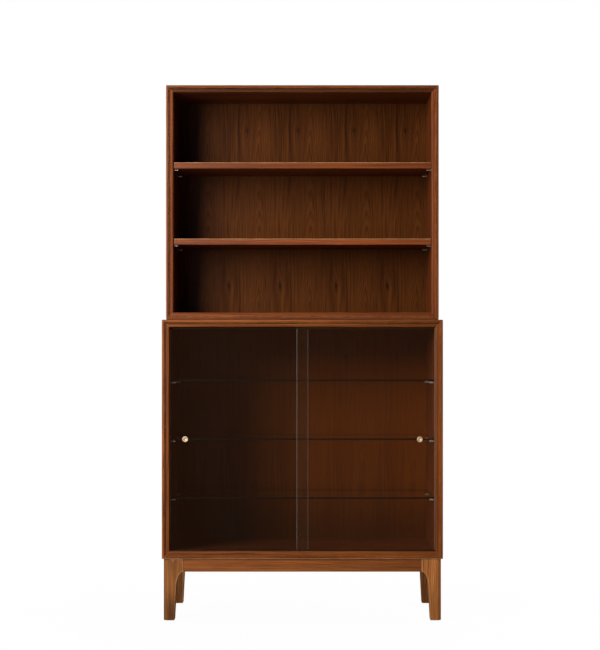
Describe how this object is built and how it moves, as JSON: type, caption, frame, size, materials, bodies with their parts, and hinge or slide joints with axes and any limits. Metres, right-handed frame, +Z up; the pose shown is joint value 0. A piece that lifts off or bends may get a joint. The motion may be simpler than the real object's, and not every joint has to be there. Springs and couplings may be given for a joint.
{
  "type": "two-piece bookcase with sliding glass doors",
  "caption": "Open wooden shelf unit standing on a deeper cabinet with bypass sliding glass doors and glass shelves, on a four-legged base with curved knees.",
  "frame": {"origin": "centre of the footprint on the floor", "axes": "+Z up, -Y to the front with the doors, +X to the right as seen from the front"},
  "size_m": [0.9, 0.4, 1.742],
  "materials": {
    "case_wood": "satin oiled veneer",
    "edge_wood": "satin oiled solid wood",
    "back_veneer": "satin veneer",
    "shelf_wood": "satin oiled veneer",
    "leg_wood": "satin oiled solid wood",
    "inner_wood": "bare wood",
    "steel": "satin",
    "door_glass": "smoke tint, polished",
    "shelf_glass": "clear, polished edges",
    "pull_metal": "satin",
    "track_plastic": "matt brown",
    "pad_rubber": "translucent",
    "spacer_felt": "felt",
    "glide_nylon": "matt"
  },
  "bodies": {
    "root": {"upper_left_side": "case_wood", "upper_right_side": "case_wood", "upper_top": "case_wood", "upper_bottom": "case_wood", "upper_left_lipping": "edge_wood", "upper_right_lipping": "edge_wood", "upper_top_lipping": "edge_wood", "upper_bottom_lipping": "edge_wood", "upper_back": "back_veneer", "upper_back_screws": "steel", "upper_mitre_splines": "inner_wood", "wood_shelf_low": "shelf_wood", "wood_shelf_high": "shelf_wood", "wood_shelf_low_lipping": "edge_wood", "wood_shelf_high_lipping": "edge_wood", "wood_shelf_pins": "steel", "unit_dowels": "inner_wood", "unit_spacers": "spacer_felt", "lower_left_side": "case_wood", "lower_right_side": "case_wood", "lower_top": "case_wood", "lower_bottom": "case_wood", "lower_left_lipping": "edge_wood", "lower_right_lipping": "edge_wood", "lower_top_lipping": "edge_wood", "lower_bottom_lipping": "edge_wood", "lower_back": "back_veneer", "lower_back_screws": "steel", "lower_mitre_splines": "inner_wood", "glass_shelf_low": "shelf_glass", "glass_shelf_middle": "shelf_glass", "glass_shelf_high": "shelf_glass", "glass_shelf_pins": "steel", "glass_shelf_pads": "pad_rubber", "top_track": "track_plastic", "bottom_track": "track_plastic", "front_left_leg": "leg_wood", "front_right_leg": "leg_wood", "rear_left_leg": "leg_wood", "rear_right_leg": "leg_wood", "front_apron": "leg_wood", "rear_apron": "leg_wood", "left_apron": "leg_wood", "right_apron": "leg_wood", "apron_dowels": "inner_wood", "front_cleat": "inner_wood", "rear_cleat": "inner_wood", "cleat_screws": "steel", "apron_screws": "steel", "foot_glides": "glide_nylon"},
    "left_door": {"left_door_glass": "door_glass", "left_door_pull": "pull_metal", "left_pull_ring": "pull_metal"},
    "right_door": {"right_door_glass": "door_glass", "right_door_pull": "pull_metal", "right_pull_ring": "pull_metal"}
  },
  "joints": [
    {"name": "left_door_slide", "type": "slide", "parent": "root", "child": "left_door", "axis": [1, 0, 0], "range_m": [0, 0.407]},
    {"name": "right_door_slide", "type": "slide", "parent": "root", "child": "right_door", "axis": [-1, 0, 0], "range_m": [0, 0.407]}
  ]
}
